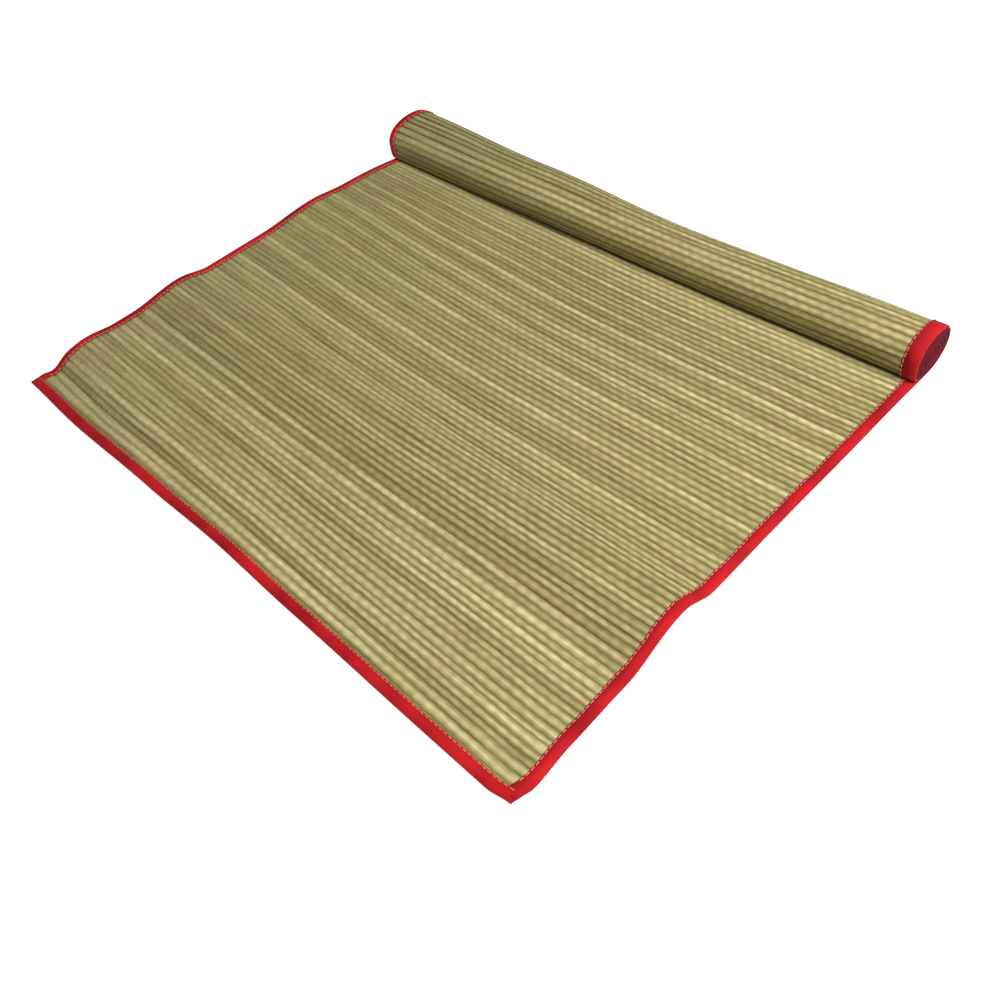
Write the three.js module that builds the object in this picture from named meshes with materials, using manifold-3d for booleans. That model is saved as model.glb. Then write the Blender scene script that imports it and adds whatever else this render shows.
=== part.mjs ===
// A rush beach mat, partly unrolled: the near part lies on the floor and the rest is wound into a roll
// at the far end. Millimetres, +X along the rushes, +Y from the near edge towards the roll, +Z up.
import * as THREE from 'three';
import Module from 'manifold-3d';

const wasm = await Module();
wasm.setup();

// Driving dimensions
const WIDTH = 600;
const LAID_LENGTH = 438;
const SHEET = 1.6;
const TAPE = 0.6;
const GAP = 0.3;
const TAPE_WIDTH = 9;
const TAPE_PROUD = 0.7;

// The woven sheet stands this far above the floor where a tape is folded under it.
const RISE = TAPE + GAP;
const SHEET_HALF = WIDTH / 2 - TAPE - GAP;
const ROLL_HALF = WIDTH / 2 - TAPE_WIDTH;
// It leaves the floor by this much where it turns into the roll.
const ROLL_LIFT = 0.15;
// Edges shorter than this are merged.
const SLIVER = 0.01;

// How far the near edge bows out, along the rushes.
const NEAR_BOW = [
  { x: -300, out: 4.2 },
  { x: -215, out: 6.3 },
  { x: -100, out: 3.7 },
  { x: 0, out: 1.4 },
  { x: 90, out: 2.6 },
  { x: 282, out: 3.3 },
  { x: 300, out: 0.6 },
];

// How far the right edge bows out, along the mat.
const RIGHT_BOW = [
  { y: 0, out: 0.6 },
  { y: 16, out: 4.4 },
  { y: 50, out: 2.4 },
  { y: 96, out: 1.6 },
  { y: 140, out: 0.4 },
  { y: 240, out: 0.6 },
  { y: 380, out: 2.0 },
  { y: 450, out: 2.6 },
];

// How far the left edge bows out: it is drawn in just behind the near corner.
const LEFT_BOW = [
  { y: 0, out: 0 },
  { y: 7, out: 0 },
  { y: 17, out: -3 },
  { y: 34, out: 0 },
];

// The left side stands clear of the floor between the near corner and the roll.
const LEFT_RISE = { lift: 6.2, from: 17, full: 42, fall: 350, end: 436, reach: 0.3 };

// Folds across the mat: where the crest is, how far it slopes each way and how high it is at each side.
const FOLDS = [
  { name: 'corner hump', y: 58, near: 28, far: 30, left: 3.0, right: 0, reach: -0.1 },
  { name: 'cross ridge', y: 160, near: 56, far: 34, left: 5.6, right: 13.0, reach: 1 },
  { name: 'far swell', y: 322, near: 64, far: 46, left: 3.8, right: 0, reach: 0.1 },
];

// The roll's section along its length: its near side, its far side, its height, and how square its
// lower near side is, because the loose roll sags towards the laid part.
const ROLL_SECTIONS = [
  { x: -300, near: 434.8, far: 499, height: 39.5, square: 6 },
  { x: -110, near: 433, far: 489, height: 38.5, square: 3.6 },
  { x: 60, near: 434, far: 481, height: 36, square: 3.6 },
  { x: 300, near: 437, far: 485, height: 38.5, square: 3.6 },
];
const FAR_POWER = 2;
const UPPER_POWER = 2.2;
const FLAT_SPOT = 0.5;
const ROLL_POINTS = 36;

const clamp = (v, lo, hi) => Math.min(hi, Math.max(lo, v));

function smooth(from, to, v) {
  const t = clamp((v - from) / (to - from), 0, 1);
  return t * t * (3 - 2 * t);
}

// A smooth curve through a table's rows.
function along(rows, key, value, at) {
  const last = rows.length - 1;
  if (at <= rows[0][key]) return rows[0][value];
  if (at >= rows[last][key]) return rows[last][value];
  const i = rows.findIndex((row) => row[key] >= at);
  const [a, b] = [rows[i - 1], rows[i]];
  return a[value] + (b[value] - a[value]) * smooth(a[key], b[key], at);
}

// 1 at the left edge, falling to 0 where a fold that comes from the left side dies out.
function fromLeft(x, reach) {
  return 1 - smooth(-1, reach, x / (WIDTH / 2));
}

function bump(fold, y) {
  const d = y < fold.y ? (fold.y - y) / fold.near : (y - fold.y) / fold.far;
  return d >= 1 ? 0 : Math.cos((d * Math.PI) / 2) ** 2;
}

function foldLift(x, y) {
  const s = clamp(x / WIDTH + 0.5, 0, 1);
  const fall = clamp((y - LEFT_RISE.fall) / (LEFT_RISE.end - LEFT_RISE.fall), 0, 1);
  const rise = LEFT_RISE.lift * smooth(LEFT_RISE.from, LEFT_RISE.full, y) * (1 - fall * fall);
  let lift = rise * fromLeft(x, LEFT_RISE.reach);
  for (const fold of FOLDS) {
    const across = fold.right > 0 ? 1 : fromLeft(x, fold.reach);
    lift += bump(fold, y) * across * (fold.left + (fold.right - fold.left) * s);
  }
  return lift;
}

// The sheet's underside: on the floor, a little up where the tapes are folded under it, and on the folds.
function underside(x, y) {
  const side = smooth(WIDTH / 2 - 34, WIDTH / 2 - 13, Math.abs(x));
  const front = 1 - smooth(10, 32, y);
  const turn = ROLL_LIFT * smooth(LAID_LENGTH - 20, LAID_LENGTH + 6, y);
  return RISE * Math.max(side, front) + foldLift(x, y) + turn;
}

// A point of the flat mat, moved to where the bowed edges put it.
function bowed(x, y) {
  const side = Math.abs(x / (WIDTH / 2)) ** 3;
  const near = Math.exp(-Math.max(0, y) / 40);
  const out = along(x > 0 ? RIGHT_BOW : LEFT_BOW, 'y', 'out', y);
  return {
    x: x + Math.sign(x) * out * side,
    y: y - along(NEAR_BOW, 'x', 'out', x) * near,
  };
}

// A closed solid between a lower and an upper surface over a grid of x and y stations.
function slab(xs, ys, low, high) {
  const points = [];
  const faces = [];
  const nx = xs.length;
  const ny = ys.length;
  for (const surface of [low, high]) {
    for (const x of xs) {
      for (const y of ys) {
        const p = bowed(x, y);
        points.push(p.x, p.y, surface(x, y));
      }
    }
  }
  const at = (layer, i, j) => layer * nx * ny + i * ny + j;
  const quad = (a, b, c, d) => faces.push(a, b, c, a, c, d);
  for (let i = 0; i < nx - 1; i += 1) {
    for (let j = 0; j < ny - 1; j += 1) {
      quad(at(1, i, j), at(1, i + 1, j), at(1, i + 1, j + 1), at(1, i, j + 1));
      quad(at(0, i, j), at(0, i, j + 1), at(0, i + 1, j + 1), at(0, i + 1, j));
    }
  }
  for (let i = 0; i < nx - 1; i += 1) {
    quad(at(0, i, 0), at(0, i + 1, 0), at(1, i + 1, 0), at(1, i, 0));
    quad(at(0, i + 1, ny - 1), at(0, i, ny - 1), at(1, i, ny - 1), at(1, i + 1, ny - 1));
  }
  for (let j = 0; j < ny - 1; j += 1) {
    quad(at(0, 0, j + 1), at(0, 0, j), at(1, 0, j), at(1, 0, j + 1));
    quad(at(0, nx - 1, j), at(0, nx - 1, j + 1), at(1, nx - 1, j + 1), at(1, nx - 1, j));
  }
  return solid(points, faces);
}

// The roll's outline at a station: a flattened oval with a small flat spot on the floor.
function rollSection(x, proud) {
  const near = along(ROLL_SECTIONS, 'x', 'near', x) - proud;
  const far = along(ROLL_SECTIONS, 'x', 'far', x) + proud;
  const height = along(ROLL_SECTIONS, 'x', 'height', x) + proud;
  const square = along(ROLL_SECTIONS, 'x', 'square', x);
  const yc = (near + far) / 2;
  const a = (far - near) / 2;
  const b = height / 2;
  const ring = [];
  for (let k = 0; k < ROLL_POINTS; k += 1) {
    const t = (2 * Math.PI * (k + 0.5)) / ROLL_POINTS;
    const lower = Math.cos(t) < 0 ? square : FAR_POWER;
    const power = Math.sin(t) < 0 ? lower : UPPER_POWER;
    const r = (Math.abs(Math.cos(t)) ** power + Math.abs(Math.sin(t)) ** power) ** (-1 / power);
    let z = b + b * r * Math.sin(t);
    if (z < FLAT_SPOT) z = 0;
    ring.push([yc + a * r * Math.cos(t), z]);
  }
  return ring;
}

function rollSolid(xs, proud) {
  const points = [];
  const faces = [];
  const n = ROLL_POINTS;
  for (const x of xs) {
    for (const [y, z] of rollSection(x, proud)) points.push(x, y, z);
  }
  for (let i = 0; i < xs.length - 1; i += 1) {
    for (let k = 0; k < n; k += 1) {
      const a = i * n + k;
      const b = i * n + ((k + 1) % n);
      faces.push(a, b + n, b, a, a + n, b + n);
    }
  }
  for (let k = 1; k < n - 1; k += 1) {
    const end = (xs.length - 1) * n;
    faces.push(0, k, k + 1);
    faces.push(end, end + k + 1, end + k);
  }
  return solid(points, faces);
}

// Manifold solids, turned outward whichever way their faces were listed.
function solid(points, faces) {
  const build = (tri) => {
    const mesh = new wasm.Mesh({
      numProp: 3,
      vertProperties: new Float32Array(points),
      triVerts: new Uint32Array(tri),
    });
    mesh.merge();
    return new wasm.Manifold(mesh);
  };
  const made = build(faces);
  if (made.volume() > 0) return made;
  const flipped = [];
  for (let i = 0; i < faces.length; i += 3) flipped.push(faces[i], faces[i + 2], faces[i + 1]);
  return build(flipped);
}

function block(size, x, y, z) {
  const box = new THREE.BoxGeometry(size, size, size).translate(x, y, z);
  return solid(Array.from(box.attributes.position.array), Array.from(box.index.array));
}

function steps(from, to, count) {
  return Array.from({ length: count + 1 }, (_, i) => from + ((to - from) * i) / count);
}

// Stations across and along the laid part, closer together on the folds and by the tapes.
const ACROSS = [-262, -225, -180, -135, -90, -45, 0, 50, 100, 160, 220, 264];
const ALONG = [
  ...steps(16, 40, 4), ...steps(47, 84, 5), 97, 110, 119, 127, ...steps(134, 190, 9), 202,
  225, 250, ...steps(268, 368, 7), 381, 394, 406, 417, 426,
];
const TAPE_INNER = WIDTH / 2 - TAPE_WIDTH;
const SHEET_END = LAID_LENGTH - 2;
const NEAR_INNER = 8.2;

const upper = (x, y) => underside(x, y) + SHEET;

function wovenSheet() {
  const xs = [-SHEET_HALF, -TAPE_INNER, ...ACROSS, TAPE_INNER, SHEET_HALF];
  const ys = [TAPE + GAP, NEAR_INNER, ...ALONG, SHEET_END, 460];
  const laid = slab(xs, ys, underside, upper);
  // The sheet stops short of the roll at both sides, where the tapes turn up.
  const notch = 60;
  const left = block(notch, -ROLL_HALF - notch / 2, SHEET_END + notch / 2, 0);
  const right = block(notch, ROLL_HALF + notch / 2, SHEET_END + notch / 2, 0);
  const roll = rollSolid(steps(-ROLL_HALF, ROLL_HALF, 6), 0);
  return laid.subtract(left).subtract(right).add(roll);
}

// A tape folded round the sheet's edge: a channel whose section follows the edge through its stations.
// Each station gives the channel's mouth and its outer face as points on the plan.
function foldedTape(stations) {
  const points = [];
  const faces = [];
  for (const { mouth, wall, face } of stations) {
    const ring = [
      [mouth, -GAP - TAPE],
      [face, -GAP - TAPE],
      [face, SHEET + GAP + TAPE],
      [mouth, SHEET + GAP + TAPE],
      [mouth, SHEET + GAP],
      [wall, SHEET + GAP],
      [wall, -GAP],
      [mouth, -GAP],
    ];
    for (const [[x, y], rise] of ring) {
      const p = bowed(x, y);
      points.push(p.x, p.y, underside(x, y) + rise);
    }
  }
  for (let i = 0; i < stations.length - 1; i += 1) {
    for (let k = 0; k < 8; k += 1) {
      const a = i * 8 + k;
      const b = i * 8 + ((k + 1) % 8);
      faces.push(a, b, b + 8, a, b + 8, a + 8);
    }
  }
  const end = (stations.length - 1) * 8;
  for (const [a, b, c, d] of [[0, 1, 6, 7], [1, 2, 5, 6], [2, 3, 4, 5]]) {
    faces.push(a, d, c, a, c, b);
    faces.push(end + a, end + b, end + c, end + a, end + c, end + d);
  }
  return solid(points, faces);
}

function sideTape(side) {
  const ys = [NEAR_INNER + GAP, ...ALONG, SHEET_END, LAID_LENGTH + 12];
  const stations = ys.map((y) => ({
    mouth: [side * (TAPE_INNER + GAP), y],
    wall: [side * (WIDTH / 2 - TAPE), y],
    face: [side * (WIDTH / 2), y],
  }));
  const ends = [side * (TAPE_INNER + GAP), side * (WIDTH / 2)].sort((a, b) => a - b);
  return foldedTape(stations).add(rollSolid(ends, TAPE_PROUD));
}

function nearTape() {
  const xs = [-WIDTH / 2, -TAPE_INNER, ...ACROSS, TAPE_INNER, WIDTH / 2];
  return foldedTape(xs.map((x) => ({ mouth: [x, NEAR_INNER], wall: [x, TAPE], face: [x, 0] })));
}

const rush = new THREE.MeshStandardMaterial({ color: 0x9d9365, roughness: 0.85, metalness: 0 });
const redTape = new THREE.MeshStandardMaterial({ color: 0xbc2f2a, roughness: 0.8, metalness: 0 });

const PIECES = [
  { name: 'woven_mat', body: wovenSheet(), material: rush },
  { name: 'binding_near', body: nearTape(), material: redTape },
  { name: 'binding_left', body: sideTape(-1), material: redTape },
  { name: 'binding_right', body: sideTape(1), material: redTape },
];

function toMesh({ name, body, material }) {
  const source = body.simplify(SLIVER).getMesh();
  const geometry = new THREE.BufferGeometry();
  geometry.setAttribute('position', new THREE.BufferAttribute(Float32Array.from(source.vertProperties), 3));
  geometry.setIndex(new THREE.BufferAttribute(Uint32Array.from(source.triVerts), 1));
  geometry.computeVertexNormals();
  const mesh = new THREE.Mesh(geometry, material);
  mesh.name = name;
  return mesh;
}

const mat = new THREE.Group();
mat.name = 'beach_mat';
for (const piece of PIECES) mat.add(toMesh(piece));

// The origin is the middle of the bounding box's base.
const box = new THREE.Box3().setFromObject(mat);
mat.position.set(-(box.min.x + box.max.x) / 2, -(box.min.y + box.max.y) / 2, -box.min.z);

export default mat;
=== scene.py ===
import math
import bpy
import numpy as np
from mathutils import Matrix, Vector


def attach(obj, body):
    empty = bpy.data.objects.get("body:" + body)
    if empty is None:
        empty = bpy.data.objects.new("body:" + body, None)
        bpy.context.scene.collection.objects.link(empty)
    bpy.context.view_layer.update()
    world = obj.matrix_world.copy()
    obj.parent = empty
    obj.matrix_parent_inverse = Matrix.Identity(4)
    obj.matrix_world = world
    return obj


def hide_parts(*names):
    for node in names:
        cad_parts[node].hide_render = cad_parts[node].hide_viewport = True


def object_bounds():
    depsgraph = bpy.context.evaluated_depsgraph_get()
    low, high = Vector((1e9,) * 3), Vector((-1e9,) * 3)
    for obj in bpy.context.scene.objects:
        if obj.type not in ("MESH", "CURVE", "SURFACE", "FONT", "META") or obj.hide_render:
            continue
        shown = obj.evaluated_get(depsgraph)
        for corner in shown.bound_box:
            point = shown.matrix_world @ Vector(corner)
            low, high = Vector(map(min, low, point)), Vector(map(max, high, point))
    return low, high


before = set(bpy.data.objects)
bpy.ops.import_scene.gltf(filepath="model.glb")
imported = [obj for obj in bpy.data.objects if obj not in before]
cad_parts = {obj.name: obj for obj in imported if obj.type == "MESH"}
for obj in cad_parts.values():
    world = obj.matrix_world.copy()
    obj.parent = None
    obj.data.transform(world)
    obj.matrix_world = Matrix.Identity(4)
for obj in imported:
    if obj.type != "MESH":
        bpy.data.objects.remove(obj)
first_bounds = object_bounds()
rng = np.random.default_rng(7)
MM = 0.001

# ---------------------------------------------------------------- sizes, in mm
# x runs along the rushes from the mat's middle, y from the straight near edge to the roll,
# z up from the floor, and s along the sheet from its near edge
WIDTH = 600.0
HALF = WIDTH / 2
SHEET = 1.6

RUSH_PITCH = 5.75
# the narrowest and the widest share of the pitch that a rush takes
RUSH_SHARES = (0.80, 1.20)
# the lowest and the highest share of its usual height
RUSH_HEIGHTS = (0.85, 1.1)
RUSH_ABOVE = 1.0
RUSH_BELOW = 0.7
# a rush is wider than the space it fills by this factor
RUSH_OVERLAP = 1.2
# the sheet is pressed flatter towards the left: a rush's height there, and what it gains by the middle
LEFT_FLAT = 0.72
LEFT_GAIN = 0.28
# the first rush starts this far along the sheet, and all end this far inside its side edges
FIRST_RUSH = 4.0
RUSH_MARGIN = 2.2
# cross sections along a rush, where it shows and inside the roll
SHOWN_STATIONS = 72
INNER_STATIONS = 7

WARP_PITCH = 5.05
WARP_START = -287.8
WARP_END = 288.0
THREAD_RADIUS = 0.26

TAPE_WIDTH = 9.0
NEAR_TAPE_WIDTH = 8.2
TAPE_THICK = 0.42
# the room that the near tape leaves for the sheet, over and under its middle
NEAR_TOP = 1.1
NEAR_LOW = 0.84
NEAR_STATIONS = 215

# no point of the mat is lower over the floor than this
CLEAR = 0.02

# how far the edges bow out, as (place along the edge, bow)
NEAR_BOW = np.array([(-300, 4.2), (-215, 6.3), (-100, 3.7), (0, 1.4), (90, 2.6), (282, 3.3), (300, 0.6)])
RIGHT_BOW = np.array([
    (0, 0.6), (16, 4.4), (50, 2.4), (96, 1.6), (140, 0.4), (240, 0.6), (380, 2.0), (450, 2.6),
])
LEFT_BOW = np.array([(0, 0), (7, 0), (17, -3), (34, 0)], float)
# the near edge's bow dies away over about this length
BOW_FADE = 40

# the left side stands off the floor: it rises from start to full, falls from fall to end,
# and fades out at reach, a share of the half width from the mat's middle
LEFT_RISE = dict(lift=6.2, start=17, full=42, fall=350, end=436, reach=0.3)
# ridges across the mat: their line y, how far they spread to either side of it, and their height
# at the mat's left and right; one with a reach fades out there
FOLDS = [
    dict(y=58, near=28, far=30, left=3.0, right=0, reach=-0.1),
    dict(y=160, near=56, far=34, left=5.6, right=13.0),
    dict(y=322, near=64, far=46, left=3.8, right=0, reach=0.1),
]
# the sheet lies on its tape, so it is higher by EDGE_RISE at the sides and the front
EDGE_RISE = 0.9
SIDE_RISE_FROM = 34
SIDE_RISE_TO = 13
FRONT_RISE_FULL = 10
FRONT_RISE_END = 32
# the sheet comes down again where it runs in under the roll
ROLL_START = 425
ROLL_UNDER = 452
ROLL_DIP = 0.1
# how far the rushes near the left edge lie askew, and where
ASKEW = dict(most=8.0, start=60, full=260, fall=330, end=430, reach=0.1, power=1.3)

# the roll's section at four places: its front, back and height, and how square its lower front is
ROLL = [
    dict(x=-300, near=434.8, far=499, high=39.5, square=6),
    dict(x=-110, near=433, far=489, high=38.5, square=3.6),
    dict(x=60, near=434, far=481, high=36, square=3.6),
    dict(x=300, near=437, far=485, high=38.5, square=3.6),
]
FAR_POWER = 2.0
UPPER_POWER = 2.2
# the middle of the sheet's outer turn lies this far inside the section
TURN_INSET = 0.7
TURNS = 16.0
# the innermost turn's size, as a share of the outermost
CORE = 0.07
# lengths along the roll's turns are measured at this x
MEASURED_X = 60.0
SPIRAL_STEPS = 9000

# how things waver: size in mm or as a share, how many waves are added, about how long one is in mm
WAVERS = dict(
    rush_path=(0.32, 3, 170.0),
    rush_height=(0.10, 2, 60.0),
    rush_width=(0.05, 2, 70.0),
    rush_bob=(0.10, 2, 90.0),
    thread_path=(0.35, 3, 60.0),
    side_mouth=(0.45, 3, 70.0),
    mouth_detail=(0.25, 2, 12.0),
    side_puff=(0.10, 3, 22.0),
    turn_slip=(0.6, 3, 150.0),
    near_mouth=(0.35, 3, 80.0),
    near_puff=(0.10, 3, 24.0),
    near_face=(0.15, 2, 120.0),
)

# where the mat's own x = 0 and y = 0 are in the frame
low = first_bounds[0]
Y_EDGE = low[1] / MM + NEAR_BOW[:, 1].max()
X_MID = low[0] / MM + HALF


# ---------------------------------------------------------------- the mat's surface
def smooth(a, b, v):
    t = np.clip((v - a) / (b - a), 0, 1)
    return t * t * (3 - 2 * t)


def along(xs, vs, at):
    """Smooth steps between the values vs at places xs."""
    at = np.clip(at, xs[0], xs[-1])
    i = np.clip(np.searchsorted(xs, at, side="right") - 1, 0, len(xs) - 2)
    return vs[i] + (vs[i + 1] - vs[i]) * smooth(xs[i], xs[i + 1], at)


def column(rows, key):
    return np.array([row[key] for row in rows], float)


def roll_value(key, x):
    return along(column(ROLL, "x"), column(ROLL, key), x)


def from_left(x, reach):
    return 1 - smooth(-1, reach, x / HALF)


def lift(x, y):
    """How far the folds lift the laid sheet."""
    s = np.clip(x / WIDTH + 0.5, 0, 1)
    fall = np.clip((y - LEFT_RISE["fall"]) / (LEFT_RISE["end"] - LEFT_RISE["fall"]), 0, 1)
    up = LEFT_RISE["lift"] * smooth(LEFT_RISE["start"], LEFT_RISE["full"], y) * (1 - fall * fall)
    out = up * from_left(x, LEFT_RISE["reach"])
    for f in FOLDS:
        across = from_left(x, f["reach"]) if "reach" in f else 1.0
        d = np.where(y < f["y"], (f["y"] - y) / f["near"], (y - f["y"]) / f["far"])
        ridge = np.where(np.abs(d) >= 1, 0, np.cos(np.clip(d, -1, 1) * np.pi / 2) ** 2)
        out = out + ridge * across * (f["left"] + (f["right"] - f["left"]) * s)
    return out


def middle(x, y):
    """Height of the sheet's mid surface where it is laid."""
    side = smooth(HALF - SIDE_RISE_FROM, HALF - SIDE_RISE_TO, np.abs(x))
    front = 1 - smooth(FRONT_RISE_FULL, FRONT_RISE_END, y)
    rolling = smooth(ROLL_START, ROLL_UNDER, y)
    sheet = EDGE_RISE * np.maximum(side, front) * (1 - rolling) + SHEET / 2
    return sheet + lift(x, y) - ROLL_DIP * rolling


def section(x):
    """The roll's oval at x: its middle's y, half depth, half height, and its middle's z."""
    near = roll_value("near", x)
    far = roll_value("far", x)
    tall = roll_value("high", x)
    return (near + far) / 2, (far - near) / 2 - TURN_INSET, tall / 2 - TURN_INSET, tall / 2


def oval(theta, x):
    """A point of the wound sheet's middle, theta round from the bottom inwards."""
    yc, a, b, zc = section(x)
    c, s = np.cos(theta), np.sin(theta)
    turn = (theta + np.pi / 2) / (2 * np.pi)
    rho = 1 - (1 - CORE) * turn / TURNS
    lower = np.where(c < 0, roll_value("square", x), FAR_POWER)
    power = np.where(s < 0, lower, UPPER_POWER)
    r = (np.abs(c) ** power + np.abs(s) ** power) ** (-1 / power)
    return yc + a * rho * r * c, zc + b * rho * r * s


SPIRAL = np.linspace(-np.pi / 2, 2 * np.pi * TURNS - np.pi / 2, SPIRAL_STEPS)
spiral_y, spiral_z = oval(SPIRAL, np.full_like(SPIRAL, MEASURED_X))
ARC = np.concatenate([[0], np.cumsum(np.hypot(np.diff(spiral_y), np.diff(spiral_z)))])
# the sheet's length up to the roll, up to its far end, and up to the end of the roll's outer turn
S_ROLL = float(section(np.array(MEASURED_X))[0])
S_END = S_ROLL + ARC[-1] - 2
FIRST_TURN = S_ROLL + float(np.interp(1.5 * np.pi, SPIRAL, ARC))


def drift(x, s):
    """Rushes near the left edge lie a little askew."""
    out = ASKEW["most"] * smooth(ASKEW["start"], ASKEW["full"], s)
    out = out * (1 - smooth(ASKEW["fall"], ASKEW["end"], s))
    return out * from_left(x, ASKEW["reach"]) ** ASKEW["power"]


def path(s, x, skew=True):
    """Plan position and height (mm) of the sheet's middle at arc length s."""
    yc = section(x)[0]
    laid = np.minimum(s, S_ROLL)
    y = laid * yc / S_ROLL
    if skew:
        y = y + drift(x, laid)
    z = middle(x, y)
    y = y - along(NEAR_BOW[:, 0], NEAR_BOW[:, 1], x) * np.exp(-np.maximum(y, 0) / BOW_FADE)
    ry, rz = oval(np.interp(np.maximum(s - S_ROLL, 0), ARC, SPIRAL), x)
    rolled = s > S_ROLL
    return np.where(rolled, ry, y), np.where(rolled, rz, z)


def frame_at(s, x, skew=True):
    """The middle's y and z, and the direction along the mat in y and z."""
    step = 0.8
    y, z = path(s, x, skew)
    y1, z1 = path(s - step, x, skew)
    y2, z2 = path(s + step, x, skew)
    ty, tz = y2 - y1, z2 - z1
    n = np.maximum(np.hypot(ty, tz), 1e-9)
    return y, z, ty / n, tz / n


def plan_x(x, y):
    """x with the bow of the side edges."""
    share = (x / HALF) ** 3
    right = along(RIGHT_BOW[:, 0], RIGHT_BOW[:, 1], y)
    left = along(LEFT_BOW[:, 0], LEFT_BOW[:, 1], y)
    return x + np.where(x > 0, right, left) * share


def place(x, y, z):
    """Points of the frame, in metres, from places on the mat in mm."""
    p = np.stack([plan_x(x, y) + X_MID, y + Y_EDGE, np.maximum(z, CLEAR)], -1)
    return p.reshape(-1, 3) * MM


# ---------------------------------------------------------------- mesh helpers
def grid_faces(rows, cols, start=0):
    """The faces of a tube: rows of points, each a closed ring."""
    i = np.arange(rows - 1)[:, None]
    j = np.arange(cols)[None, :]
    k = (j + 1) % cols
    f = np.stack([i * cols + j, i * cols + k, (i + 1) * cols + k, (i + 1) * cols + j], -1)
    return f.reshape(-1, 4) + start


def make(name, verts, faces, material, uv=None, flip=False):
    mesh = bpy.data.meshes.new(name)
    faces = [list(map(int, f)) for f in faces]
    if flip:
        faces = [f[::-1] for f in faces]
    mesh.from_pydata([tuple(map(float, v)) for v in verts], [], faces)
    mesh.update()
    if uv is not None:
        layer = mesh.uv_layers.new(name="lay")
        loops = np.empty(len(mesh.loops), int)
        mesh.loops.foreach_get("vertex_index", loops)
        layer.data.foreach_set("uv", np.asarray(uv, float)[loops].ravel())
    mesh.polygons.foreach_set("use_smooth", [True] * len(mesh.polygons))
    obj = bpy.data.objects.new(name, mesh)
    bpy.context.scene.collection.objects.link(obj)
    obj.data.materials.append(material)
    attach(obj, "root")
    return obj


def waver(name, at):
    """A smooth random curve, by the row of WAVERS with this name."""
    size, count, scale = WAVERS[name]
    out = np.zeros_like(at)
    for _ in range(count):
        out += np.sin(at * 2 * np.pi / (scale * rng.uniform(0.6, 1.8)) + rng.uniform(0, 6.3))
    return size * (out / count)


# ---------------------------------------------------------------- materials
def node(tree, kind, **values):
    n = tree.nodes.new(kind)
    for key, value in values.items():
        setattr(n, key, value)
    return n


def math_node(tree, op, a, b=None):
    n = node(tree, "ShaderNodeMath", operation=op)
    for i, v in enumerate((a, b)):
        if v is None:
            continue
        if isinstance(v, (int, float)):
            n.inputs[i].default_value = v
        else:
            tree.links.new(v, n.inputs[i])
    return n.outputs[0]


def ramp(tree, source, stops):
    n = node(tree, "ShaderNodeValToRGB")
    tree.links.new(source, n.inputs[0])
    ends = n.color_ramp.elements
    ends[0].position, ends[0].color = stops[0][0], (*stops[0][1], 1)
    ends[1].position, ends[1].color = stops[-1][0], (*stops[-1][1], 1)
    for at, colour in stops[1:-1]:
        ends.new(at).color = (*colour, 1)
    return n.outputs[0]


def mix(tree, kind, factor, a, b):
    n = node(tree, "ShaderNodeMix", data_type="RGBA", blend_type=kind)
    # a mix of colours has its factor, first and second colour at these inputs
    for i, v in ((0, factor), (6, a), (7, b)):
        if isinstance(v, (int, float)):
            n.inputs[i].default_value = v
        elif isinstance(v, tuple):
            n.inputs[i].default_value = (*v, 1)
        else:
            tree.links.new(v, n.inputs[i])
    return n.outputs[2]


def noise(tree, vector, scale, detail, rough=0.5):
    n = node(tree, "ShaderNodeTexNoise")
    n.inputs["Scale"].default_value = scale
    n.inputs["Detail"].default_value = detail
    n.inputs["Roughness"].default_value = rough
    tree.links.new(vector, n.inputs["Vector"])
    return n.outputs[0]


def stretched_noise(tree, vector, scale, detail, rough=0.5):
    n = node(tree, "ShaderNodeMapping")
    n.inputs["Scale"].default_value = scale
    tree.links.new(vector, n.inputs["Vector"])
    return noise(tree, n.outputs[0], 1.0, detail, rough)


def new_material(name):
    m = bpy.data.materials.new(name)
    m.use_nodes = True
    tree = m.node_tree
    shader = tree.nodes["Principled BSDF"]
    return m, tree, shader


def relief(tree, shader, height):
    """Fine relief of fibres and yarn, a few tenths of a millimetre deep."""
    n = node(tree, "ShaderNodeBump")
    n.inputs["Strength"].default_value = 0.8
    n.inputs["Distance"].default_value = 0.00025
    tree.links.new(height, n.inputs["Height"])
    tree.links.new(n.outputs[0], shader.inputs["Normal"])


BLACK = (0, 0, 0)
WHITE = (1, 1, 1)
# a rush's tone, from the darkest to the palest, as (place on the ramp, colour)
RUSH_TONES = [
    (0.05, (0.205, 0.165, 0.070)),
    (0.28, (0.300, 0.262, 0.108)),
    (0.48, (0.372, 0.335, 0.148)),
    (0.68, (0.455, 0.412, 0.200)),
    (0.95, (0.620, 0.560, 0.310)),
]
RUSH_GREEN = (0.270, 0.285, 0.095)
RUSH_BROWN = (0.330, 0.225, 0.105)
# painted highlight and painted shade: what a rush's tone is multiplied by, from its crest to its flanks
CREST_HIGHLIGHT_FLANK_SHADE = [
    (0.02, (1.36, 1.34, 1.40)),
    (0.16, (1.05, 1.03, 1.02)),
    (0.30, (0.72, 0.68, 0.60)),
    (0.44, (0.45, 0.40, 0.30)),
]
# painted shade and painted highlight: and from where a thread presses it to the middle of its swell
SWELL_SHADE_TONES = [
    (0.0, (0.90, 0.89, 0.86)),
    (0.55, (1.0, 1.0, 1.0)),
    (1.0, (1.07, 1.07, 1.06)),
]
STREAK_TONES = [(0.30, (0.66, 0.63, 0.54)), (0.70, (1.16, 1.16, 1.12))]
FIBRE_TONES = [(0.25, (0.62, 0.6, 0.55)), (0.75, WHITE)]
YARN_TONES = [(0.3, (0.66, 0.6, 0.6)), (0.7, WHITE)]
# painted shade: the wound turns of tape inside the roll are darker than the tape that shows from outside
WOUND_SHADE_RED = (0.11, 0.003, 0.010)


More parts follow.
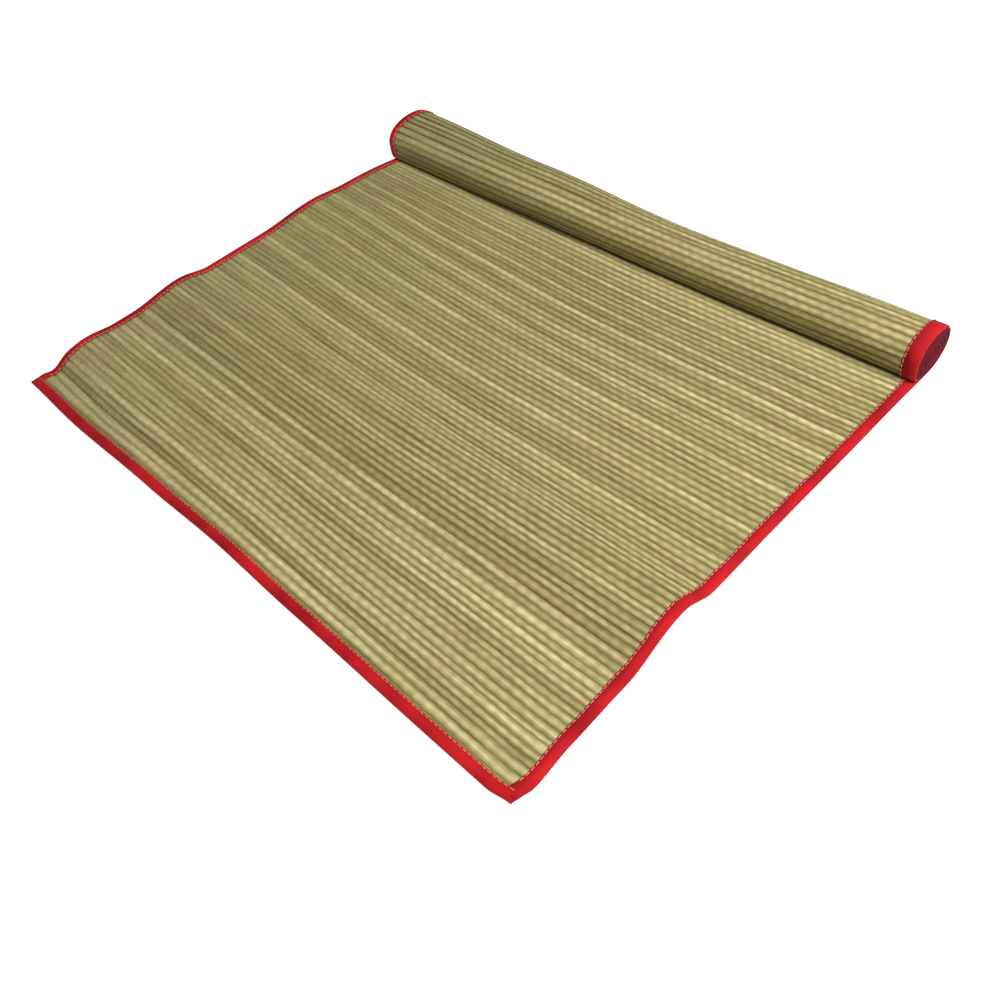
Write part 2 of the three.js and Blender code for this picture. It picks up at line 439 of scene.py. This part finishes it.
def rush_colour(tree, uv, obj, number):
    # each rush has its own tone, which changes slowly along it
    own = math_node(tree, "MULTIPLY", number, 0.52)
    slow = stretched_noise(tree, uv, (0.09, 1.3, 1.0), 3.0)
    tone = math_node(tree, "ADD", own, math_node(tree, "MULTIPLY", slow, 0.54))
    colour = ramp(tree, tone, RUSH_TONES)
    # wide patches are greener, and long narrow ones are browner
    patch = stretched_noise(tree, obj, (6.0, 11.0, 6.0), 3.0)
    green_share = ramp(tree, patch, [(0.46, BLACK), (0.75, (0.36, 0.36, 0.36))])
    colour = mix(tree, "MIX", green_share, colour, RUSH_GREEN)
    brown = stretched_noise(tree, obj, (9.0, 120.0, 120.0), 2.0)
    brown_share = ramp(tree, brown, [(0.52, BLACK), (0.8, (0.55, 0.55, 0.55))])
    colour = mix(tree, "MIX", brown_share, colour, RUSH_BROWN)
    streak = stretched_noise(tree, obj, (48.0, 640.0, 640.0), 3.0, 0.7)
    return mix(tree, "MULTIPLY", 0.9, colour, ramp(tree, streak, STREAK_TONES))


def painted_shade_strength(tree, obj):
    """How strongly the painted highlight and shade on a rush's crest, flanks and swells show: weaker at
    the mat's left than from its middle on, as the light falls there.
    """
    where = node(tree, "ShaderNodeSeparateXYZ")
    tree.links.new(obj, where.inputs[0])
    shade_strength = node(tree, "ShaderNodeMapRange")
    tree.links.new(where.outputs[0], shade_strength.inputs["Value"])
    for key, value in (("From Min", -0.3), ("From Max", 0.05), ("To Min", 0.4), ("To Max", 1.0)):
        shade_strength.inputs[key].default_value = value
    return shade_strength.outputs[0]


def rush_material():
    """The UV's first part counts thread repeats along a rush, and its second part counts rushes."""
    m, tree, shader = new_material("dry_rush")
    place_at = node(tree, "ShaderNodeTexCoord")
    obj = place_at.outputs["Object"]
    uv = node(tree, "ShaderNodeSeparateXYZ")
    tree.links.new(place_at.outputs["UV"], uv.inputs[0])
    rush = math_node(tree, "FLOOR", uv.outputs[1])
    number = node(tree, "ShaderNodeTexWhiteNoise", noise_dimensions="1D")
    tree.links.new(rush, number.inputs["W"])
    colour = rush_colour(tree, place_at.outputs["UV"], obj, number.outputs[0])
    fibre = stretched_noise(tree, obj, (25.0, 2600.0, 2600.0), 2.0)
    colour = mix(tree, "MULTIPLY", 0.5, colour, ramp(tree, fibre, FIBRE_TONES))
    # painted shade: the flanks of a rush, down where it meets the next, are darkened and browned, and its
    # crest gets a painted highlight
    shade_strength = painted_shade_strength(tree, obj)
    lane = math_node(tree, "SUBTRACT", math_node(tree, "FRACT", uv.outputs[1]), 0.5)
    flank = math_node(tree, "ABSOLUTE", lane)
    colour = mix(tree, "MULTIPLY", shade_strength, colour, ramp(tree, flank, CREST_HIGHLIGHT_FLANK_SHADE))
    # a rush is pressed down where a warp thread crosses it and swells between the threads: painted shade
    # where it is pressed and a painted highlight on the swell, with a bump as well
    odd = math_node(tree, "MULTIPLY", rush, 0.5)
    turns = math_node(tree, "SUBTRACT", uv.outputs[0], math_node(tree, "SUBTRACT", odd, 0.5))
    pressed = math_node(tree, "COSINE", math_node(tree, "MULTIPLY", turns, 2 * math.pi))
    swell = math_node(tree, "MULTIPLY", math_node(tree, "SUBTRACT", 1.0, pressed), 0.5)
    colour = mix(tree, "MULTIPLY", shade_strength, colour, ramp(tree, swell, SWELL_SHADE_TONES))
    tree.links.new(colour, shader.inputs["Base Color"])
    shader.inputs["Roughness"].default_value = 0.62
    shader.inputs["Sheen Weight"].default_value = 0.03
    shader.inputs["Specular IOR Level"].default_value = 0.25
    relief(tree, shader, math_node(tree, "ADD", fibre, math_node(tree, "MULTIPLY", swell, 0.8)))
    return m


def tape_material(name, base, dark, yarn_scale):
    """The UV's first part is the place along the tape, in metres."""
    m, tree, shader = new_material(name)
    place_at = node(tree, "ShaderNodeTexCoord")
    obj = place_at.outputs["Object"]
    patch = stretched_noise(tree, obj, (30.0, 30.0, 30.0), 3.0)
    colour = ramp(tree, patch, [(0.3, dark), (0.62, base)])
    yarn = stretched_noise(tree, obj, yarn_scale, 1.0)
    colour = mix(tree, "MULTIPLY", 0.6, colour, ramp(tree, yarn, YARN_TONES))
    # painted shade on the turns inside the roll: the ramp's middle is where the roll's outer turn ends
    along_tape = node(tree, "ShaderNodeSeparateXYZ")
    tree.links.new(place_at.outputs["UV"], along_tape.inputs[0])
    share = math_node(tree, "DIVIDE", along_tape.outputs[0], 2 * FIRST_TURN * MM)
    wound_shade = ramp(tree, share, [(0.49, BLACK), (0.53, WHITE)])
    colour = mix(tree, "MIX", wound_shade, colour, WOUND_SHADE_RED)
    tree.links.new(colour, shader.inputs["Base Color"])
    shader.inputs["Roughness"].default_value = 0.8
    shader.inputs["Sheen Weight"].default_value = 0.03
    shader.inputs["Specular IOR Level"].default_value = 0.15
    relief(tree, shader, yarn)
    return m


def thread_material(name, first, second, scale, rough):
    m, tree, shader = new_material(name)
    obj = node(tree, "ShaderNodeTexCoord").outputs["Object"]
    colour = ramp(tree, noise(tree, obj, scale, 3.0), [(0.35, first), (0.65, second)])
    tree.links.new(colour, shader.inputs["Base Color"])
    shader.inputs["Roughness"].default_value = rough
    return m


RUSH = rush_material()
THREAD = thread_material("warp_thread", (0.34, 0.30, 0.15), (0.50, 0.45, 0.25), 300.0, 0.8)
STITCH = thread_material("tape_thread", (0.62, 0.17, 0.11), (0.76, 0.27, 0.18), 500.0, 0.6)
RED_SIDE = tape_material(
    "red_tape_side", (0.520, 0.010, 0.015), (0.310, 0.004, 0.008), (900.0, 2400.0, 1800.0)
)
RED_NEAR = tape_material(
    "red_tape_near", (0.530, 0.010, 0.014), (0.320, 0.004, 0.008), (2400.0, 900.0, 1800.0)
)

# ---------------------------------------------------------------- the rushes
edges = [FIRST_RUSH]
while edges[-1] < S_END:
    edges.append(edges[-1] + RUSH_PITCH * rng.uniform(*RUSH_SHARES))
edges = np.array(edges[:-1])
centres = (edges[1:] + edges[:-1]) / 2
widths = np.diff(edges)
shown = centres < FIRST_TURN + 6
shown_ids = np.nonzero(shown)[0]
inner_ids = np.nonzero(~shown)[0]
# a rush's section: an arched top and a flatter underside
PHI = np.radians([0, 30, 60, 90, 120, 150, 180, 235, 305])
# rush i has the UV's lane from i + 1 to i + 2, and reaches this far from the lane's middle
LANE_HALF = 0.45


def rushes(group, stations):
    verts, faces, uv, ends = [], [], [], []
    start = 0
    xs = np.linspace(-HALF + RUSH_MARGIN, HALF - RUSH_MARGIN, stations)
    n = len(PHI)
    flat = LEFT_FLAT + LEFT_GAIN * smooth(-HALF, 0, xs)
    for i in group:
        s0, w = centres[i], widths[i]
        # the mat's underside is the outer face of the roll
        rolled = s0 > S_ROLL
        turned = PHI + (np.pi if rolled else 0.0)
        c, d = np.cos(turned)[None, :], np.sin(turned)[None, :]
        wander = waver("rush_path", xs)
        tall = flat * rng.uniform(*RUSH_HEIGHTS) * (1 + waver("rush_height", xs))
        wide = w * RUSH_OVERLAP * (1.0 + waver("rush_width", xs))
        y, z, ty, tz = frame_at(s0 + wander, xs)
        bob = waver("rush_bob", xs) * (0.4 if rolled else 1.0)
        face = RUSH_BELOW if rolled else RUSH_ABOVE
        back = RUSH_ABOVE if rolled else RUSH_BELOW
        across = (wide / 2)[:, None] * c
        upward = tall[:, None] * np.where(d > 0, face * d, back * d) + bob[:, None]
        py = y[:, None] + ty[:, None] * across - tz[:, None] * upward
        pz = z[:, None] + tz[:, None] * across + ty[:, None] * upward
        px = np.broadcast_to(xs[:, None], py.shape)
        verts.append(place(px, py, pz))
        faces.append(grid_faces(stations, n, start))
        ends.append([start + k for k in range(n)][::-1])
        ends.append([start + (stations - 1) * n + k for k in range(n)])
        lane = np.broadcast_to(i + 1.5 + LANE_HALF * c, py.shape)
        # on the roll the other face shows, where the threads cross half a repeat on
        repeat = (px - WARP_START + (WARP_PITCH if rolled else 0.0)) / (2 * WARP_PITCH)
        uv.append(np.stack([repeat.ravel(), lane.ravel()], -1))
        start += stations * n
    return np.concatenate(verts), np.concatenate(faces), np.concatenate(uv), ends


def rush_sheet():
    v1, f1, u1, e1 = rushes(shown_ids, SHOWN_STATIONS)
    v2, f2, u2, e2 = rushes(inner_ids, INNER_STATIONS)
    later = len(v1)
    faces = [*f1, *(f2 + later), *e1, *[[k + later for k in f] for f in e2]]
    uv = np.concatenate([u1, u2])
    return make("rushes", np.concatenate([v1, v2]), faces, RUSH, uv, flip=True)


mat = rush_sheet()
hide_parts("woven_mat")


# ---------------------------------------------------------------- warp threads
def warp_threads():
    """Each thread runs over one rush and under the next, and the thread beside it the other way about."""
    verts, faces = [], []
    start = 0
    s = np.empty(2 * len(shown_ids) - 1)
    s[0::2] = centres[shown_ids]
    s[1::2] = edges[shown_ids][1:]
    for k, x0 in enumerate(np.arange(WARP_START, WARP_END, WARP_PITCH)):
        side = np.zeros_like(s)
        side[0::2] = np.where((np.arange(len(shown_ids)) + k) % 2 == 0, 1, -1)
        x = np.full_like(s, x0) + waver("thread_path", s)
        y, z, ty, tz = frame_at(s, x)
        rolled = s > S_ROLL
        over = np.where(rolled, RUSH_BELOW, RUSH_ABOVE)
        under = np.where(rolled, RUSH_ABOVE, RUSH_BELOW)
        off = np.where(side > 0, over, np.where(side < 0, -under, 0.0))
        cy, cz = y - tz * off, z + ty * off
        ring = []
        for phi in (np.pi / 2, np.pi * 7 / 6, np.pi * 11 / 6):
            out, up = THREAD_RADIUS * math.cos(phi), THREAD_RADIUS * math.sin(phi)
            ring.append(place(x + out, cy - tz * up, cz + ty * up))
        verts.append(np.stack(ring, 1).reshape(-1, 3))
        faces.append(grid_faces(len(s), len(ring), start))
        start += len(s) * len(ring)
    return make("warp_threads", np.concatenate(verts), np.concatenate(faces), THREAD)


warp = warp_threads()

# ---------------------------------------------------------------- the folded tapes
# the tape is fullest this far in from its fold, by CROWN, and bends round from BEND on
SHOULDER = 4.0
CROWN = 0.1
BEND = 0.8
BEND_DROP = 0.05
# the fold's inner wall, and how far the lips are undercut
WALL = 0.9
LIP = 0.1
# the side tapes start under the near tape
SIDE_START = 3.0
LAID_STEP = 2.8
ROLL_STEP = 3.0
# the room that a side tape leaves for the sheet, over and under its middle: SIDE_LOW grows by
# SIDE_LOW_MORE on the roll, and only WOUND_ROOM is left on the inner turns
SIDE_TOP = RUSH_ABOVE + 0.05
SIDE_LOW = 0.6
SIDE_LOW_MORE = 0.42
WOUND_ROOM = 0.12
# under the near tape a side tape is pressed to this share
UNDER_NEAR = 0.55
# at the roll's right end more of the tape shows: its inner edge lies this much further in
RIGHT_SLIDE = 3.6


def tape_ring(mouth, face, top, low, puff):
    """A folded tape's section: corners as (distance across the tape, height over the sheet's middle)."""
    t = TAPE_THICK
    return [
        (mouth, top + t + puff),
        (face - SHOULDER, top + t + CROWN + puff),
        (face - BEND, top + t - BEND_DROP),
        (face, top * 0.6),
        (face, -low * 0.6),
        (face - BEND, -low - t + BEND_DROP),
        (face - SHOULDER, -low - t - CROWN - puff),
        (mouth, -low - t - puff),
        (mouth + LIP, -low),
        (face - WALL, -low * 0.8),
        (face - WALL, top * 0.8),
        (mouth + LIP, top),
    ]


def tape_mesh(name, columns, along_mm, material, flip):
    verts = np.stack(columns, 1).reshape(-1, 3)
    rows, n = len(along_mm), len(columns)
    end = (rows - 1) * n
    faces = [list(f) for f in grid_faces(rows, n)]
    faces.append(list(range(n))[::-1])
    faces.append([end + k for k in range(n)])
    ring = np.tile(np.arange(n) / n, rows)
    uv = np.stack([np.repeat(along_mm * MM, n), ring], -1)
    return make(name, verts, faces, material, uv, flip=flip)


def side_tape(side, name):
    """The piece, and what its stitches follow: its mouth and its room at each s."""
    laid = np.arange(SIDE_START, S_ROLL, LAID_STEP)
    roll = np.arange(S_ROLL, S_END - 4, ROLL_STEP)
    s = np.concatenate([laid, roll])
    # 1 on the laid part and the roll's outer turn, and 0 on the turns inside
    first = 1 - smooth(FIRST_TURN - 12, FIRST_TURN + 20, s)
    pressed = UNDER_NEAR + (1 - UNDER_NEAR) * smooth(NEAR_TAPE_WIDTH - 2, NEAR_TAPE_WIDTH + 2.5, s)
    top_in = (SIDE_TOP * (1 - smooth(S_ROLL - 22, S_ROLL - 2, s)) + WOUND_ROOM) * pressed
    low_room = SIDE_LOW + SIDE_LOW_MORE * smooth(S_ROLL - 10, S_ROLL + 15, s)
    low_in = (low_room * first + WOUND_ROOM) * pressed
    mouth = HALF - TAPE_WIDTH + waver("side_mouth", s) + waver("mouth_detail", s)
    if side > 0:
        mouth = mouth - RIGHT_SLIDE * smooth(S_ROLL + 5, S_ROLL + 45, s) * first
    puff = waver("side_puff", s) * first
    slip = waver("turn_slip", s) * smooth(S_ROLL, S_ROLL + 60, s)
    columns = []
    for across, h in tape_ring(mouth, HALF + slip, top_in, low_in, puff):
        x = side * across
        y, z, ty, tz = frame_at(s, x, skew=False)
        columns.append(place(x, y - tz * h, z + ty * h))
    piece = tape_mesh(name, columns, s, RED_SIDE, side > 0)
    return piece, dict(s=s, mouth=mouth, top=top_in, low=low_in)


def near_tape():
    """The piece, and what its stitches follow: its mouth at each x."""
    x = np.linspace(-HALF, HALF, NEAR_STATIONS)
    inner = NEAR_TAPE_WIDTH + waver("near_mouth", x) + waver("mouth_detail", x)
    puff = waver("near_puff", x)
    face = waver("near_face", x)
    # the two ends are flattened at the corners
    pinch = 0.5 + 0.5 * smooth(0, 7, HALF - np.abs(x))
    columns = []
    for across, h in tape_ring(-inner, -face, NEAR_TOP, NEAR_LOW, puff):
        y, z, ty, tz = frame_at(-across, x, skew=False)
        y, z = y - tz * h * pinch, z + ty * h * pinch - 0.5 * (1 - pinch)
        columns.append(place(x, y, z))
    piece = tape_mesh("tape_near", columns, x, RED_NEAR, False)
    return piece, dict(x=x, mouth=inner)


left, left_run = side_tape(-1, "tape_left")
right, right_run = side_tape(1, "tape_right")
near, near_run = near_tape()
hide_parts("binding_left")
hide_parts("binding_right")
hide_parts("binding_near")

# ---------------------------------------------------------------- stitches
STITCH_PITCH = 4.2
STITCH_LENGTH = 3.0
STITCH_RADIUS = 0.36
# the seam's distance from the tape's inner edge, and its height over the tape
SEAM_IN = 0.9
SEAM_UP = 0.08
# a stitch's arch, as (share of its length, height)
ARCH = ((0.0, -0.15), (0.25, 0.22), (0.75, 0.22), (1.0, -0.15))
# the corners of its section, as angles in radians
CORNERS = (0.3, 1.9, 3.5, 5.1)


def stitch(a, b, up):
    """A short thread lying from a to b, arched a little over the tape."""
    a, b, up = (np.asarray(v, float) for v in (a, b, up))
    d = (b - a) / max(np.linalg.norm(b - a), 1e-9)
    side = np.cross(d, up)
    rows = []
    for share, height in ARCH:
        c = a + (b - a) * share + up * height * MM
        rows.append([c + (math.cos(q) * side + math.sin(q) * up) * STITCH_RADIUS * MM for q in CORNERS])
    points = np.array(rows).reshape(-1, 3)
    points[:, 2] = np.maximum(points[:, 2], CLEAR * MM)
    return points


def stitches(name, points, ups):
    verts = [stitch(a, b, up) for (a, b), up in zip(points, ups)]
    size = len(ARCH) * len(CORNERS)
    faces = [grid_faces(len(ARCH), len(CORNERS), k * size) for k in range(len(verts))]
    return make(name, np.concatenate(verts), np.concatenate(faces), STITCH)


def side_stitches(side, run, name):
    points, ups = [], []
    for s0 in np.arange(14.0, FIRST_TURN - 6, STITCH_PITCH):
        # from just before the roll on, the seam that shows is the one on the underside
        sign = -1.0 if s0 > S_ROLL - 18 else 1.0
        room = run["low"] if sign < 0 else run["top"]
        ends = []
        for s1 in (s0, s0 + STITCH_LENGTH):
            x = np.array([side * (float(np.interp(s1, run["s"], run["mouth"])) + SEAM_IN)])
            y, z, ty, tz = frame_at(np.array([s1]), x, skew=False)
            h = sign * (float(np.interp(s1, run["s"], room)) + TAPE_THICK + SEAM_UP)
            ends.append(place(x, y - tz * h, z + ty * h)[0])
        points.append(ends)
        ups.append((0.0, float(-tz[0]) * sign, float(ty[0]) * sign))
    return stitches(name, points, ups)


def near_stitches(run):
    points, ups = [], []
    h = NEAR_TOP + TAPE_THICK + SEAM_UP
    for x0 in np.arange(-HALF + 4, HALF - 6, STITCH_PITCH):
        ends = []
        for x1 in (x0, x0 + STITCH_LENGTH):
            s = np.array([float(np.interp(x1, run["x"], run["mouth"])) - SEAM_IN])
            x = np.array([x1])
            y, z, ty, tz = frame_at(s, x, skew=False)
            ends.append(place(x, y - tz * h, z + ty * h)[0])
        points.append(ends)
        ups.append((0.0, float(-tz[0]), float(ty[0])))
    return stitches("stitches_near", points, ups)


sewn = [
    side_stitches(-1, left_run, "stitches_left"),
    side_stitches(1, right_run, "stitches_right"),
    near_stitches(near_run),
]

# ---------------------------------------------------------------- floor, light and camera
# the floor and the lamp are in metres and watts
FLOOR_HALF = 3.0
FLOOR_Z = -0.0004
FLOOR_GLOW = 0.75
WORLD_LIGHT = 0.25
KEY_AT = (0.85, 0.05, 1.15)
KEY_SIZE = 0.6
KEY_POWER = 25
KEY_COLOUR = (1.0, 0.99, 0.97)
# the camera's place in mm from the mat's own origin, and its focal length in picture widths
CAMERA_AT = (506.6, -125.0, 532.9)
FOCAL = 0.96857
SENSOR = 36.0
# the turn from the frame to a view with x to the right, y down and z ahead: its axis times its angle
TURN = Vector((2.31697, 0.88507, -0.49294))


def floor_material():
    m, tree, shader = new_material("pale_floor")
    shader.inputs["Base Color"].default_value = (0.93, 0.93, 0.93, 1)
    shader.inputs["Roughness"].default_value = 0.9
    shader.inputs["Specular IOR Level"].default_value = 0.1
    # what looks at the floor sees it near white, and it still takes the mat's shadow
    rays = node(tree, "ShaderNodeLightPath")
    seen = math_node(tree, "ADD", rays.outputs["Is Camera Ray"], rays.outputs["Is Glossy Ray"])
    seen = math_node(tree, "ADD", seen, rays.outputs["Is Transmission Ray"])
    glow = node(tree, "ShaderNodeEmission")
    tree.links.new(math_node(tree, "MULTIPLY", seen, FLOOR_GLOW), glow.inputs["Strength"])
    both = node(tree, "ShaderNodeAddShader")
    tree.links.new(shader.outputs[0], both.inputs[0])
    tree.links.new(glow.outputs[0], both.inputs[1])
    tree.links.new(both.outputs[0], tree.nodes["Material Output"].inputs["Surface"])
    return m


def make_floor(scene):
    signs = ((-1, -1), (1, -1), (1, 1), (-1, 1))
    corners = [(FLOOR_HALF * i, FLOOR_HALF * j, FLOOR_Z) for i, j in signs]
    mesh = bpy.data.meshes.new("floor")
    mesh.from_pydata(corners, [], [(0, 1, 2, 3)])
    obj = bpy.data.objects.new("floor", mesh)
    scene.collection.objects.link(obj)
    obj.data.materials.append(floor_material())


def light_scene(scene):
    world = bpy.data.worlds.new("studio")
    scene.world = world
    world.use_nodes = True
    background = world.node_tree.nodes["Background"]
    background.inputs["Color"].default_value = (1.0, 1.0, 1.0, 1)
    background.inputs["Strength"].default_value = WORLD_LIGHT
    key = bpy.data.lights.new("key", "AREA")
    key.shape = "DISK"
    key.size = KEY_SIZE
    key.energy = KEY_POWER
    key.color = KEY_COLOUR
    obj = bpy.data.objects.new("key", key)
    obj.location = KEY_AT
    obj.rotation_euler = (-Vector(KEY_AT)).to_track_quat("-Z", "Y").to_euler()
    scene.collection.objects.link(obj)


def place_camera(scene):
    data = bpy.data.cameras.new("camera")
    data.sensor_width = SENSOR
    data.lens = SENSOR * FOCAL
    camera = bpy.data.objects.new("camera", data)
    scene.collection.objects.link(camera)
    x, y, z = CAMERA_AT
    camera.location = ((x + X_MID) * MM, (y + Y_EDGE) * MM, z * MM)
    to_view = Matrix.Rotation(TURN.length, 3, TURN.normalized())
    camera.rotation_euler = Matrix((to_view[0], -to_view[1], -to_view[2])).transposed().to_euler()
    scene.camera = camera


scene = bpy.context.scene
make_floor(scene)
light_scene(scene)
place_camera(scene)
scene.view_settings.view_transform = "Standard"
